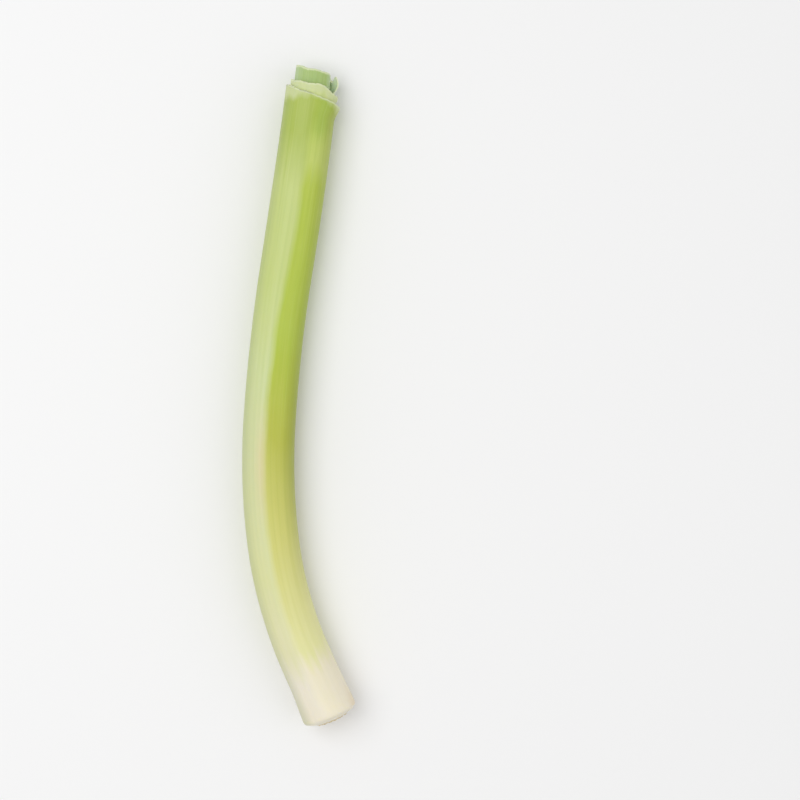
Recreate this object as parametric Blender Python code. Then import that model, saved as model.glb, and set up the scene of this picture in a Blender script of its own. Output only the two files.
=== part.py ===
"""A trimmed leek lying on a flat surface, root end towards -Y and leaf end towards +Y.

The shaft is what the plant grew: leaves nested one inside the next, their bases closed into tubes
round a pared root plate. A knife has cut the leaf end on a slant, and the inner leaves have slipped
a little further out.
"""

from math import cos, exp, pi, radians, sin, sqrt
from random import Random
from typing import NamedTuple

import bmesh
import bpy
from mathutils import Matrix, Vector

# The midline in plan: where it starts, how far it leans left of +Y there, and its arcs, each with a
# length and a turn in degrees.
BASE_X = 0.01152
BASE_Y = -0.11510
BASE_LEAN = 23.0
BENDS = ((0.0204, 1.7), (0.045, -17.4), (0.045, -11.1), (0.052, -5.1), (0.065, 1.5))
SHAFT_LENGTH = sum(length for length, _ in BENDS)

# Half the shaft's width at distances from the root end, and its height as a share of its width.
SHAFT_HALF_WIDTH = (
    (0.000, 0.01010),
    (0.014, 0.00958),
    (0.040, 0.00943),
    (0.100, 0.00943),
    (0.135, 0.00949),
    (0.180, 0.00963),
    (0.227, 0.00945),
)
SHAFT_HEIGHT_SHARE = ((0.00, 1.00), (0.08, 0.98), (0.227, 0.94))
FLAT_DEPTH = 0.0002  # how much the underside is pressed flat where it rests

# The pared root end is a low dome, and the outer leaf's edge is rounded off there.
DOME_HEIGHT = 0.0020
SHOULDER_LENGTH = 0.0016
SHOULDER_DEPTH = 0.0009
FLARE_END = 0.014  # the outer leaf thickens from here down, and the leaves inside it don't
PLATE_THICKNESS = 0.0028
LEAF_GAP = 0.0003

LEFT, RIGHT = -1, 1


class Leaf(NamedTuple):
    """One leaf of the shaft. Its wall is thickest along the keel and thinnest at the mouth, opposite."""

    name: str
    keel: int
    mouth_wall: float
    keel_wall: float
    rim_height: float  # above the shaft's length, on the midline
    rim_slant: float  # how much lower the cut is at the right than on the midline
    columns: int
    mouth_open: float  # half the angle between the two margins at the cut, in degrees
    colour: tuple


LEAVES = (
    Leaf("outer_leaf", LEFT, 0.0009, 0.0012, 0.0002, 0.0027, 36, 0, (0.44, 0.55, 0.12)),
    Leaf("second_leaf", RIGHT, 0.0009, 0.0013, 0.0030, 0.0022, 28, 0, (0.55, 0.63, 0.30)),
    Leaf("third_leaf", LEFT, 0.0009, 0.0013, 0.0093, 0.0010, 24, 17, (0.30, 0.44, 0.14)),
    Leaf("fourth_leaf", RIGHT, 0.0009, 0.0013, 0.0084, 0.0008, 20, 16, (0.36, 0.50, 0.15)),
    Leaf("fifth_leaf", LEFT, 0.0009, 0.0014, 0.0078, 0.0006, 16, 14, (0.42, 0.54, 0.18)),
)
HEART_NAME = "heart_leaf"
HEART_COLUMNS = 14
HEART_RIM = 0.0072
HEART_GROOVE = 0.0009
HEART_GROOVE_WIDTH = 0.25  # half of it, as the sine of half an angle
HEART_COLOUR = (0.50, 0.58, 0.22)
PLATE_COLOUR = (0.78, 0.70, 0.52)
PLATE_RINGS = ((0.35, False), (0.7, False), (1.0, False), (1.0, True), (0.6, True))  # radius share, on top
ROUGHNESS = 0.42
CREASE_ANGLE = 40.0

# A knife leaves each cut edge a little ragged: ripples of (height, how many round the leaf).
COARSE_RIPPLE = (0.00022, 3)
FINE_RIPPLE = (0.00012, 7)

# The second leaf's cut isn't flat: a low lobe of it is left standing, up on the right.
LOBE_HEIGHT = 0.0016
LOBE_ANGLE = 64.0
LOBE_TIGHTNESS = 8.0

# The two outer leaves stand off at their mouths, just under the cut, on the right.
FLARE_OUT = 0.0015
FLARE_LENGTH = 0.0050

# The third leaf's lower margin curls out past the shaft's right side, most a little below the cut, and
# a tear at the fold leaves it standing as a pointed tongue.
CURL_REACH = 0.0031
CURL_RISE = 0.0006
CURL_SHARE = 0.15
CURL_PHASE = 2.2
CURL_LIFT = 0.0003
TEAR_DEPTH = 0.0024
TEAR_ANGLE = 328.0
TEAR_TIGHTNESS = 90.0

# The blades fold flatter over this last stretch, and the three folded leaves open just below the cut.
FOLD_START = 0.212
FOLD_SHARE = 0.12
MOUTH_START = 0.2195
CUT_START = 0.2000  # rings above this lean gradually into the slanting cut

# Rings of points along the shaft.
BEND_RINGS = (0.012, 0.022, 0.032, 0.042, 0.052, 0.062, 0.072, 0.082, 0.092)
UPPER_RINGS = (0.108, 0.126, 0.146, 0.168, 0.190, 0.206, 0.2130)
TOP_RINGS = (MOUTH_START, 0.2218, 0.2238, 0.2256, SHAFT_LENGTH)
OUTER_RING_STEP = 0.0065
OUTER_SHOULDER_RINGS = (0.0, 0.25, 0.55)  # as shares of the rounded shoulder's length
OUTER_TOP_RINGS = (0.206, 0.2130)

# The stumps of the pared roots stand in rings of (distance from the middle, count).
ROOT_RINGS = ((0.0, 1), (0.0021, 7), (0.0038, 12), (0.0054, 17))
ROOT_RADIUS = 0.00052
ROOT_STANDS_OUT = 0.00032
ROOT_SUNK = 0.0009
ROOT_TAPER = 0.78
ROOT_WANDER = 0.00015
ROOT_SIDES = 8
ROOT_SEED = 11


def smooth(t):
    """0 up to t = 0 and 1 from t = 1, with an easy start and end."""
    t = min(max(t, 0.0), 1.0)
    return t * t * (3 - 2 * t)


def along(stations, s):
    """A value that eases from each station's to the next one's."""
    if s <= stations[0][0]:
        return stations[0][1]
    for (s0, v0), (s1, v1) in zip(stations, stations[1:]):
        if s <= s1:
            return v0 + (v1 - v0) * smooth((s - s0) / (s1 - s0))
    return stations[-1][1]


def midline(s):
    """Plan position and lean of the shaft's midline, s along it from the root end."""
    x, y, lean = BASE_X, BASE_Y, radians(BASE_LEAN)
    rest = s
    for length, turn in BENDS:
        step = min(rest, length)
        bend = radians(turn) / length
        end = lean + bend * step
        x += (cos(end) - cos(lean)) / bend
        y += (sin(end) - sin(lean)) / bend
        lean = end
        rest -= step
        if rest <= 0:
            break
    return x - sin(lean) * max(rest, 0), y + cos(lean) * max(rest, 0), lean


def place(s, side, up):
    """A point of the leek: s along the shaft, side to its right, up from its middle."""
    x, y, lean = midline(s)
    middle = along(SHAFT_HALF_WIDTH, s) * along(SHAFT_HEIGHT_SHARE, s) - FLAT_DEPTH
    return Vector((x + side * cos(lean), y + side * sin(lean), middle + up))


def dome(radius):
    """How far the pared end stands out past the shaft's start, at a distance from its middle."""
    return -DOME_HEIGHT * (1 - (radius / SHAFT_HALF_WIDTH[0][1]) ** 2)


def nested(index, s):
    """The sideways shift and half width of the outside of a leaf, counted from the outer one."""
    shift = 0.0
    half_width = along(SHAFT_HALF_WIDTH, s if index == 0 else max(s, FLARE_END))
    for leaf in LEAVES[:index]:
        half_width -= (leaf.mouth_wall + leaf.keel_wall) / 2 + LEAF_GAP
        shift -= leaf.keel * (leaf.keel_wall - leaf.mouth_wall) / 2
    return shift, half_width


def inside_of(index, s):
    """The same for the inside of that leaf, which the next leaf starts a gap further in from."""
    shift, half_width = nested(index + 1, s)
    return shift, half_width + LEAF_GAP


def rim(leaf, angle):
    """Distance along the shaft of a leaf's cut edge, which is a little ragged."""
    ragged = COARSE_RIPPLE[0] * sin(COARSE_RIPPLE[1] * angle + leaf.columns)
    ragged += FINE_RIPPLE[0] * sin(FINE_RIPPLE[1] * angle + 2 * leaf.columns)
    if leaf.name == "second_leaf":
        ragged += LOBE_HEIGHT * exp(LOBE_TIGHTNESS * (cos(angle - radians(LOBE_ANGLE)) - 1))
    if leaf.name == "third_leaf":
        ragged -= TEAR_DEPTH * exp(TEAR_TIGHTNESS * (cos(angle - radians(TEAR_ANGLE)) - 1))
    return SHAFT_LENGTH + leaf.rim_height - leaf.rim_slant * cos(angle) + ragged


def leaning(s, end):
    """A ring's place once the last stretch is drawn out to the cut at `end`."""
    if s <= CUT_START:
        return s
    return CUT_START + (s - CUT_START) * (end - CUT_START) / (SHAFT_LENGTH - CUT_START)


def margin_angle(leaf, ring):
    """Half the angle between a folded leaf's margins at that ring."""
    share = (ring - MOUTH_START) / (SHAFT_LENGTH - MOUTH_START)
    return radians(leaf.mouth_open) * sqrt(max(share, 0.0))


def leaf_point(index, ring, turn, is_outside, is_open):
    """A point on a leaf's wall. turn runs from 0 to 1 round it, from margin to margin."""
    leaf = LEAVES[index]
    opening = margin_angle(leaf, ring) if is_open else 0.0
    seam = 0.0 if leaf.keel == LEFT else pi
    angle = seam + opening + (2 * pi - 2 * opening) * turn
    s = leaning(ring, rim(leaf, angle))
    shift, half_width = nested(index, s) if is_outside else inside_of(index, s)
    if index < 2 and ring <= SHOULDER_LENGTH:
        s = dome(half_width) + (ring / SHOULDER_LENGTH) * (SHOULDER_LENGTH - dome(half_width))
    if index == 0 and is_outside and s < SHOULDER_LENGTH:
        drop = 1 - max(s - dome(half_width), 0) / (SHOULDER_LENGTH - dome(half_width))
        half_width -= SHOULDER_DEPTH * (1 - sqrt(1 - drop * drop))
    folded = FOLD_SHARE * smooth((s - FOLD_START) / (SHAFT_LENGTH - FOLD_START)) if index > 1 else 0
    height = half_width * along(SHAFT_HEIGHT_SHARE, s) * (1 - folded)
    side = shift + half_width * cos(angle)
    up = height * sin(angle)
    if index < 2:
        stands_off = smooth((s - rim(leaf, 0.0) + FLARE_LENGTH) / FLARE_LENGTH)
        side += FLARE_OUT * stands_off * max(cos(angle), 0.0)
    if leaf.name == "third_leaf" and is_open:
        share = (ring - MOUTH_START) / (SHAFT_LENGTH - MOUTH_START)
        curl = smooth((turn - 1 + CURL_SHARE) / CURL_SHARE)
        side += CURL_REACH * curl * sin(CURL_PHASE * share) ** 2
        up += CURL_RISE * curl * share
        s += CURL_LIFT * curl * share
    point = place(s, side, up)
    point.z = max(point.z, 0.0)
    return point


def outer_rings():
    """Closer rings for the one surface that is seen all along."""
    count = round((CUT_START - SHOULDER_LENGTH) / OUTER_RING_STEP)
    step = (CUT_START - SHOULDER_LENGTH) / count
    shoulder = [share * SHOULDER_LENGTH for share in OUTER_SHOULDER_RINGS]
    shaft = [SHOULDER_LENGTH + step * i for i in range(count + 1)]
    return shoulder + shaft + list(OUTER_TOP_RINGS)


def skin(mesh, lower, upper, columns):
    """Faces between two rings. A closed ring has a point for each column, and an open one has one more."""
    for i in range(columns):
        a, b = lower[i], lower[(i + 1) % len(lower)]
        c, d = upper[(i + 1) % len(upper)], upper[i]
        mesh.faces.new((a, b, c, d))


def finish_mesh(mesh, name, colour):
    """Turns a bmesh into a named object, smooth where it is round and crisp at its cut edges."""
    bmesh.ops.recalc_face_normals(mesh, faces=mesh.faces)
    data = bpy.data.meshes.new(name)
    mesh.to_mesh(data)
    mesh.free()
    data.shade_smooth()
    data.set_sharp_from_angle(angle=radians(CREASE_ANGLE))
    data.materials.append(material(name + "_tissue", colour))
    part = bpy.data.objects.new(name, data)
    bpy.context.scene.collection.objects.link(part)
    return part


def material(name, colour):
    """Waxy plant tissue of one colour."""
    made = bpy.data.materials.new(name)
    made.use_nodes = True
    shader = made.node_tree.nodes["Principled BSDF"]
    shader.inputs["Base Color"].default_value = (*colour, 1.0)
    shader.inputs["Roughness"].default_value = ROUGHNESS
    shader.inputs["Metallic"].default_value = 0.0
    return made


def wall_rows(mesh, index, rings, is_outside):
    """Rings of points up one side of a leaf's wall, joined by faces."""
    leaf = LEAVES[index]
    rows = []
    for ring in rings:
        is_open = leaf.mouth_open > 0 and ring > MOUTH_START
        count = leaf.columns + (1 if is_open else 0)
        spots = [leaf_point(index, ring, i / leaf.columns, is_outside, is_open) for i in range(count)]
        rows.append([mesh.verts.new(spot) for spot in spots])
    for lower, upper in zip(rows, rows[1:]):
        skin(mesh, lower, upper, leaf.columns)
    return rows


def close_margins(mesh, outside, inside):
    """The narrow faces down both edges of a leaf's slit, which meet where the slit starts."""
    outside = outside[-len(TOP_RINGS):]
    inside = inside[-len(TOP_RINGS):]
    for i in range(1, len(TOP_RINGS)):
        for margin in (0, -1):
            low = 0 if i == 1 else margin
            corners = (outside[i - 1][low], outside[i][margin], inside[i][margin], inside[i - 1][low])
            mesh.faces.new(corners)


def make_leaf(index):
    """A leaf as one closed wall: a tube round the leaves inside it, slit from the cut if it is folded."""
    leaf = LEAVES[index]
    start = (0.0,) if index < 2 else (PLATE_THICKNESS + LEAF_GAP,)
    hidden = start + BEND_RINGS + UPPER_RINGS
    seen = tuple(outer_rings()) if index == 0 else hidden
    mesh = bmesh.new()
    outside = wall_rows(mesh, index, seen + TOP_RINGS, True)
    inside = wall_rows(mesh, index, hidden + TOP_RINGS, False)
    for end in (0, -1):
        skin(mesh, outside[end], inside[end], leaf.columns)
    if leaf.mouth_open > 0:
        close_margins(mesh, outside, inside)
    return finish_mesh(mesh, leaf.name, leaf.colour)


def make_heart():
    """The youngest leaf, still rolled tight: a solid bud, grooved where its margins meet."""
    index = len(LEAVES)
    mesh = bmesh.new()
    rows = []
    for ring in (PLATE_THICKNESS + LEAF_GAP, *BEND_RINGS, *UPPER_RINGS, *TOP_RINGS):
        s = leaning(ring, SHAFT_LENGTH + HEART_RIM)
        shift, half_width = nested(index, s)
        folded = smooth((s - FOLD_START) / (SHAFT_LENGTH - FOLD_START))
        height = half_width * along(SHAFT_HEIGHT_SHARE, s) * (1 - FOLD_SHARE * folded)
        row = []
        for i in range(HEART_COLUMNS):
            angle = 2 * pi * i / HEART_COLUMNS
            inward = HEART_GROOVE * folded * exp(-((sin(angle / 2) / HEART_GROOVE_WIDTH) ** 2))
            side = shift + (half_width - inward) * cos(angle)
            row.append(mesh.verts.new(place(s, side, height * sin(angle))))
        rows.append(row)
    for lower, upper in zip(rows, rows[1:]):
        skin(mesh, lower, upper, HEART_COLUMNS)
    mesh.faces.new(rows[0])
    mesh.faces.new(rows[-1])
    return finish_mesh(mesh, HEART_NAME, HEART_COLOUR)


def make_plate():
    """The disc of true stem that all the leaves grow from, pared to a low dome."""
    shift, half_width = inside_of(1, 0.0)
    half_width -= LEAF_GAP
    columns = LEAVES[1].columns
    mesh = bmesh.new()
    rows = []
    for share, is_top in PLATE_RINGS:
        radius = share * half_width
        s = PLATE_THICKNESS if is_top else dome(radius)
        ring = [2 * pi * i / columns for i in range(columns)]
        spots = [place(s, shift + radius * cos(a), radius * sin(a)) for a in ring]
        rows.append([mesh.verts.new(spot) for spot in spots])
    for lower, upper in zip(rows, rows[1:]):
        skin(mesh, lower, upper, columns)
    for row, s in ((rows[0], dome(0.0)), (rows[-1], PLATE_THICKNESS)):
        middle = mesh.verts.new(place(s, shift, 0.0))
        for i in range(columns):
            mesh.faces.new((row[i], row[(i + 1) % columns], middle))
    plate = finish_mesh(mesh, "root_plate", PLATE_COLOUR)
    join_roots(plate, shift)
    return plate


def make_stump(draw, angle, across, shift, outward):
    """One root cut off short, tapering outwards, most of it sunk in the plate."""
    size = ROOT_RADIUS * draw.uniform(0.85, 1.15)
    length = ROOT_SUNK + ROOT_STANDS_OUT * draw.uniform(0.7, 1.2)
    mesh = bmesh.new()
    bmesh.ops.create_cone(
        mesh, cap_ends=True, segments=ROOT_SIDES, radius1=size, radius2=size * ROOT_TAPER, depth=length
    )
    data = bpy.data.meshes.new("stump")
    mesh.to_mesh(data)
    mesh.free()
    stump = bpy.data.objects.new("stump", data)
    at = dome(across) + ROOT_SUNK - length / 2
    spot = place(at, shift + across * cos(angle), across * sin(angle))
    stump.matrix_world = Matrix.Translation(spot) @ outward
    return stump


def join_roots(plate, shift):
    """Fuses the stumps of the pared roots into the plate."""
    draw = Random(ROOT_SEED)
    stumps = bpy.data.collections.new("root_stumps")
    bpy.context.scene.collection.children.link(stumps)
    lean = midline(0.0)[2]
    outward = Matrix.Rotation(lean, 4, "Z") @ Matrix.Rotation(radians(90), 4, "X")
    for radius, count in ROOT_RINGS:
        start = draw.uniform(0, 2 * pi)
        for i in range(count):
            angle = start + (2 * pi * i + draw.uniform(-0.5, 0.5)) / count
            across = radius + draw.uniform(-ROOT_WANDER, ROOT_WANDER)
            stumps.objects.link(make_stump(draw, angle, across, shift, outward))
    union = plate.modifiers.new("fuse_roots", "BOOLEAN")
    union.operation = "UNION"
    union.operand_type = "COLLECTION"
    union.collection = stumps
    bpy.context.view_layer.update()
    evaluated = plate.evaluated_get(bpy.context.evaluated_depsgraph_get())
    fused = bpy.data.meshes.new_from_object(evaluated)
    plate.modifiers.clear()
    plate.data = fused
    for stump in list(stumps.objects):
        bpy.data.objects.remove(stump)
    bpy.data.collections.remove(stumps)


for old in list(bpy.data.objects):
    bpy.data.objects.remove(old)
for number in range(len(LEAVES)):
    make_leaf(number)
make_heart()
make_plate()
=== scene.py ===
"""A trimmed leek on a plain pale floor: leaf sheaths nested one in the next round a pared root plate."""

from math import pi, radians
from random import Random
from typing import NamedTuple

import bmesh
import bpy
import numpy as np
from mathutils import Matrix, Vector


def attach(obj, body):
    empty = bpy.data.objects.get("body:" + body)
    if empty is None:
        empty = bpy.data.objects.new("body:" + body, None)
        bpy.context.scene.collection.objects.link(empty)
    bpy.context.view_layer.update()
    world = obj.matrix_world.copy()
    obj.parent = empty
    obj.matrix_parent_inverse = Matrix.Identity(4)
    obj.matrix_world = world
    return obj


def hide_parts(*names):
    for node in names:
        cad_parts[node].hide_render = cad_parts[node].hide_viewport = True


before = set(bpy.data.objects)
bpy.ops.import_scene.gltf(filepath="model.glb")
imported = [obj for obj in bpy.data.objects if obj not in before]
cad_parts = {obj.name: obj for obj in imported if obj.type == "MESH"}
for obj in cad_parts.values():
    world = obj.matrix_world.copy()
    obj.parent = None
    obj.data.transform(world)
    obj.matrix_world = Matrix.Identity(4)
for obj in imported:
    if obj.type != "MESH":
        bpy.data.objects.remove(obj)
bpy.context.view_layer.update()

# Root plate. The leek's true stem is this disc of firm cream tissue, and every leaf grows from it. It is
# pared to a low dome, and of the roots only short stumps are left, in rings. The shaft that stands on it
# bows to one side, because the plant stood crooked in its row.
BASE_X = 0.01152
BASE_Y = -0.11510
BASE_LEAN = 23.0
BENDS = ((0.0204, 1.7), (0.045, -17.4), (0.045, -11.1), (0.052, -5.1), (0.065, 1.5))
SHAFT_LENGTH = sum(length for length, _ in BENDS)
SHAFT_HALF_WIDTH = (
    (0.000, 0.01010),
    (0.014, 0.00958),
    (0.040, 0.00943),
    (0.100, 0.00943),
    (0.135, 0.00949),
    (0.180, 0.00963),
    (0.227, 0.00945),
)
SHAFT_HEIGHT_SHARE = ((0.00, 1.00), (0.08, 0.98), (0.227, 0.94))
FLAT_DEPTH = 0.0002
FLARE_END = 0.014
LEAF_GAP = 0.0003
# The wall of each leaf at its mouth and along its keel, and the keel's side, from the outer leaf in.
LEFT, RIGHT = -1, 1
WALLS = (
    (0.0009, 0.0012, LEFT),
    (0.0009, 0.0013, RIGHT),
    (0.0009, 0.0013, LEFT),
    (0.0009, 0.0013, RIGHT),
    (0.0009, 0.0014, LEFT),
)
DOME_HEIGHT = 0.0020
PLATE_THICKNESS = 0.0028
PLATE_COLUMNS = 120
PLATE_SHARES = np.linspace(0.03, 0.985, 30)
PLATE_TOP_SHARES = (1.0, 0.98)
PLATE_CLEARANCE = 0.00006
PARING_HEIGHT = 0.00006
PARING_WIDTH = 0.00022
PARING_SWING = 2
PARING_SEED = 3
PLATE_RIM_DROP = 0.00025
ROOT_RINGS = ((0.0, 1), (0.0021, 7), (0.0038, 12), (0.0054, 17))
ROOT_WANDER = 0.00015
ROOT_RADIUS = 0.00046
ROOT_HEIGHT = 0.0008
ROOT_STANDS_IN = 0.0001
ROOT_HOLLOW = 0.00022
ROOT_BOWL_SHARE = 0.8
ROOT_TOP_FROM = 0.35
ROOT_WIDTHS = (0.78, 1.2)
ROOT_SPINS = (0.0, 6.28)
ROOT_SIDES = 14
ROOT_SEED = 11
CREASE_ANGLE = 50.0
GLOW_COLOURS = (1.0, 0.9, 0.45)
# Nearly all of a noise lies between these.
NOISE_LOW, NOISE_HIGH = 0.3, 0.7
# How often an unevenness of the tissue comes in a metre, along x, y and z.
STEM_CLOUDS = (420, 420, 420)
STEM_CELLS = (2600, 2600, 2600)
ROOT_SPECKS = (3000, 3000, 3000)
# A range is given as its two ends and, where those don't stand for 0 and 1, the values there.
STEM_CELLS_SHOW = (0.45, 0.75, 0.0, 0.22)
STEM_CELL_TINT = (196, 176, 136)
STEM_CLOUD_SWING = 0.0006
STEM_RIM_RADIUS = 0.0072


def smooth(t):
    """0 up to t = 0 and 1 from t = 1, with an easy start and end."""
    t = np.clip(t, 0.0, 1.0)
    return t * t * (3 - 2 * t)


def along(stations, s):
    """A value that eases from each station's to the next one's."""
    places, values = np.array(stations).T
    i = np.clip(np.searchsorted(places, s) - 1, 0, len(places) - 2)
    share = smooth((s - places[i]) / (places[i + 1] - places[i]))
    return values[i] + (values[i + 1] - values[i]) * share


def midline(s):
    """Plan position and lean of the shaft's midline, s along it from the root end."""
    rest = np.array(s, float)
    x = np.full(rest.shape, BASE_X)
    y = np.full(rest.shape, BASE_Y)
    lean = np.full(rest.shape, radians(BASE_LEAN))
    for length, turn in BENDS:
        step = np.minimum(rest, length)
        bend = radians(turn) / length
        end = lean + bend * step
        x += (np.cos(end) - np.cos(lean)) / bend
        y += (np.sin(end) - np.sin(lean)) / bend
        lean = end
        rest = rest - step
    return x - np.sin(lean) * rest, y + np.cos(lean) * rest, lean


def place(s, side, up):
    """Points of the leek: s along the shaft, side to its right, up from its middle."""
    s, side, up = np.broadcast_arrays(s, side, up)
    x, y, lean = midline(s)
    middle = along(SHAFT_HALF_WIDTH, s) * along(SHAFT_HEIGHT_SHARE, s) - FLAT_DEPTH
    points = np.stack((x + side * np.cos(lean), y + side * np.sin(lean), middle + up), -1)
    points[..., 2] = np.maximum(points[..., 2], 0.0)
    return points


def dome(radius):
    """How far the pared end stands out past the shaft's start, at a distance from its middle."""
    return -DOME_HEIGHT * (1 - (radius / SHAFT_HALF_WIDTH[0][1]) ** 2)


def nested(index, s):
    """The sideways shift and half width of the outside of a leaf, counted from the outer one."""
    shift = 0.0
    half_width = along(SHAFT_HALF_WIDTH, s if index == 0 else np.maximum(s, FLARE_END))
    for mouth_wall, keel_wall, keel in WALLS[:index]:
        half_width = half_width - (mouth_wall + keel_wall) / 2 - LEAF_GAP
        shift -= keel * (keel_wall - mouth_wall) / 2
    return shift, half_width


def polar(radius, angle):
    """How far to the right and how far up a point round the midline is."""
    return radius * np.cos(angle), radius * np.sin(angle)


def ripple(x, y, z, seed):
    """A slow, smooth, repeatable unevenness between about -1 and 1."""
    draw = Random(seed)
    total = 0.0
    for _ in range(5):
        a, b, c, d = (draw.uniform(-1, 1) for _ in range(4))
        total = total + np.sin(a * x + b * y + c * z + 6 * d)
    return total / 3


def triples(*numbers):
    """Three numbers for each point of a row, whichever of them are the same all along it."""
    return np.stack(np.broadcast_arrays(*numbers), -1)


def ring_faces(lower, upper, count, slit=(False, False)):
    """Faces between two rings, each given by its first point's number. A slit ring isn't closed."""
    faces = []
    for i in range(count):
        j, k = (i + 1 if is_slit else (i + 1) % count for is_slit in slit)
        faces.append((lower + i, lower + j, upper + k, upper + i))
    return faces


def add_object(name, data):
    """An object at the origin that shows a mesh."""
    made = bpy.data.objects.new(name, data)
    bpy.context.scene.collection.objects.link(made)
    return made


def soften(data):
    """Smooth shading, except across a cut edge."""
    data.shade_smooth()
    data.set_sharp_from_angle(angle=radians(CREASE_ANGLE))


def make_mesh(name, points, faces, layers, materials, picks=None):
    """An object from points and faces, facing outwards, with its point layers and materials."""
    data = bpy.data.meshes.new(name)
    data.from_pydata(points.reshape(-1, 3).tolist(), [], faces)
    for material in materials:
        data.materials.append(material)
    if picks is not None:
        data.polygons.foreach_set("material_index", picks)
    for layer, values in layers.items():
        made = data.attributes.new(layer, "FLOAT_VECTOR", "POINT")
        made.data.foreach_set("vector", np.asarray(values, np.float32).ravel())
    mesh = bmesh.new()
    mesh.from_mesh(data)
    bmesh.ops.recalc_face_normals(mesh, faces=mesh.faces)
    mesh.to_mesh(data)
    mesh.free()
    soften(data)
    return add_object(name, data)


def seen(r, g, b):
    """A colour as it is seen, 0 to 255, turned into the light that it gives back."""
    share = np.array((r, g, b)) / 255
    light = np.where(share <= 0.04045, share / 12.92, ((share + 0.055) / 1.055) ** 2.4)
    return (*light.tolist(), 1.0)


def add_node(tree, kind, values=(), **settings):
    """A new node of a tree, with its inputs set or joined to other nodes' outputs."""
    node = tree.nodes.new(kind)
    for key, value in settings.items():
        setattr(node, key, value)
    for key, value in dict(values).items():
        if isinstance(value, bpy.types.NodeSocket):
            tree.links.new(value, node.inputs[key])
        else:
            node.inputs[key].default_value = value
    return node


def from_axis(tree, vector):
    """How far a vector points away from the Z axis."""
    flat = add_node(tree, "ShaderNodeVectorMath", {0: vector, 1: (1, 1, 0)}, operation="MULTIPLY")
    out = add_node(tree, "ShaderNodeVectorMath", {0: flat.outputs[0]}, operation="LENGTH")
    return out.outputs["Value"]


class Tissue:
    """A plant tissue's material, with short ways to work out its colour and its relief."""

    def __init__(self, name, roughness, glow, glow_depth):
        self.material = bpy.data.materials.new(name)
        self.material.use_nodes = True
        self.tree = self.material.node_tree
        self.surface = self.tree.nodes["Principled BSDF"].inputs
        self.finish({"Roughness": roughness, "Subsurface Weight": glow})
        self.finish({"Subsurface Scale": glow_depth, "Subsurface Radius": GLOW_COLOURS})

    def finish(self, values):
        """Sets what is the same all over the surface."""
        for socket, value in values.items():
            self.surface[socket].default_value = value

    def add(self, kind, values=(), **settings):
        return add_node(self.tree, "ShaderNode" + kind, values, **settings)

    def layer(self, name):
        """A vector that the mesh holds for each point."""
        return self.add("Attribute", attribute_name=name).outputs["Vector"]

    def parts(self, vector):
        """A vector's three numbers."""
        return self.add("SeparateXYZ", {0: vector}).outputs

    def math(self, operation, a, b=0.0):
        return self.add("Math", {0: a, 1: b}, operation=operation).outputs[0]

    def plus(self, a, b):
        return self.math("ADD", a, b)

    def times(self, a, b):
        return self.math("MULTIPLY", a, b)

    def between(self, value, low, high, start=0.0, end=1.0):
        """The value's way from low to high, as a number from start to end."""
        ends = {"From Min": low, "From Max": high, "To Min": start, "To Max": end}
        return self.add("MapRange", {"Value": value, **ends}).outputs[0]

    def wander(self, noise, reach):
        """Noise as a number that strays from 0 by up to a reach, either way."""
        return self.between(noise, NOISE_LOW, NOISE_HIGH, -reach, reach)

    def profile(self, value, stations):
        """A number that goes straight from each station's to the next one's."""
        total = stations[0][1]
        for (start, low), (end, high) in zip(stations, stations[1:]):
            total = self.plus(self.between(value, start, end, 0.0, high - low), total)
        return total

    def grain(self, vector, scale, detail, rough=0.55):
        """Noise over a vector whose three numbers are first scaled apart."""
        spread = self.add("VectorMath", {0: vector, 1: scale}, operation="MULTIPLY").outputs[0]
        values = {"Vector": spread, "Scale": 1.0, "Detail": detail, "Roughness": rough}
        return self.add("TexNoise", values).outputs[0]

    def ramp(self, value, stops):
        """Colours, as they are seen, at places from 0 to 1."""
        node = self.add("ValToRGB", {"Fac": value})
        elements = node.color_ramp.elements
        while len(elements) < len(stops):
            elements.new(0.5)
        for element, (at, _) in zip(elements, stops):
            element.position = at
        for element, (_, colour) in zip(elements, stops):
            element.color = seen(*colour)
        return node.outputs["Color"]

    def blend(self, share, base, over):
        """One colour with another laid over it by a share."""
        node = self.add("Mix", {0: share, 6: base, 7: over}, data_type="RGBA")
        return node.outputs[2]

    def relief(self, height, distance, strength, under=None):
        """Fine unevenness that catches the light, on top of a coarser one."""
        values = {"Height": height, "Distance": distance, "Strength": strength}
        if under is not None:
            values["Normal"] = under
        return self.add("Bump", values).outputs["Normal"]

    def wear(self, **sockets):
        """Joins what has been worked out to the surface."""
        for key, value in sockets.items():
            self.tree.links.new(value, self.surface[key.replace("_", " ")])
        return self.material


def pared_stem():
    """Cream stem tissue, cut across: pale at the rim, with a faint tan ring where the roots grew."""
    tissue = Tissue("pared_stem", roughness=0.52, glow=0.25, glow_depth=0.0015)
    straight = tissue.layer("straight")
    cloud = tissue.grain(straight, STEM_CLOUDS, 5)
    radius = tissue.plus(from_axis(tissue.tree, straight), tissue.wander(cloud, STEM_CLOUD_SWING))
    rings = (
        (0.00, (226, 215, 186)),
        (0.45, (222, 208, 173)),
        (0.78, (228, 217, 188)),
        (1.00, (236, 229, 208)),
    )
    base = tissue.ramp(tissue.between(radius, 0.0, STEM_RIM_RADIUS), rings)
    cells = tissue.grain(straight, STEM_CELLS, 4)
    base = tissue.blend(tissue.between(cells, *STEM_CELLS_SHOW), base, seen(*STEM_CELL_TINT))
    bump = tissue.relief(cloud, distance=0.0004, strength=0.4)
    bump = tissue.relief(cells, distance=0.00012, strength=0.5, under=bump)
    return tissue.wear(Base_Color=base, Normal=bump)


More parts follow.
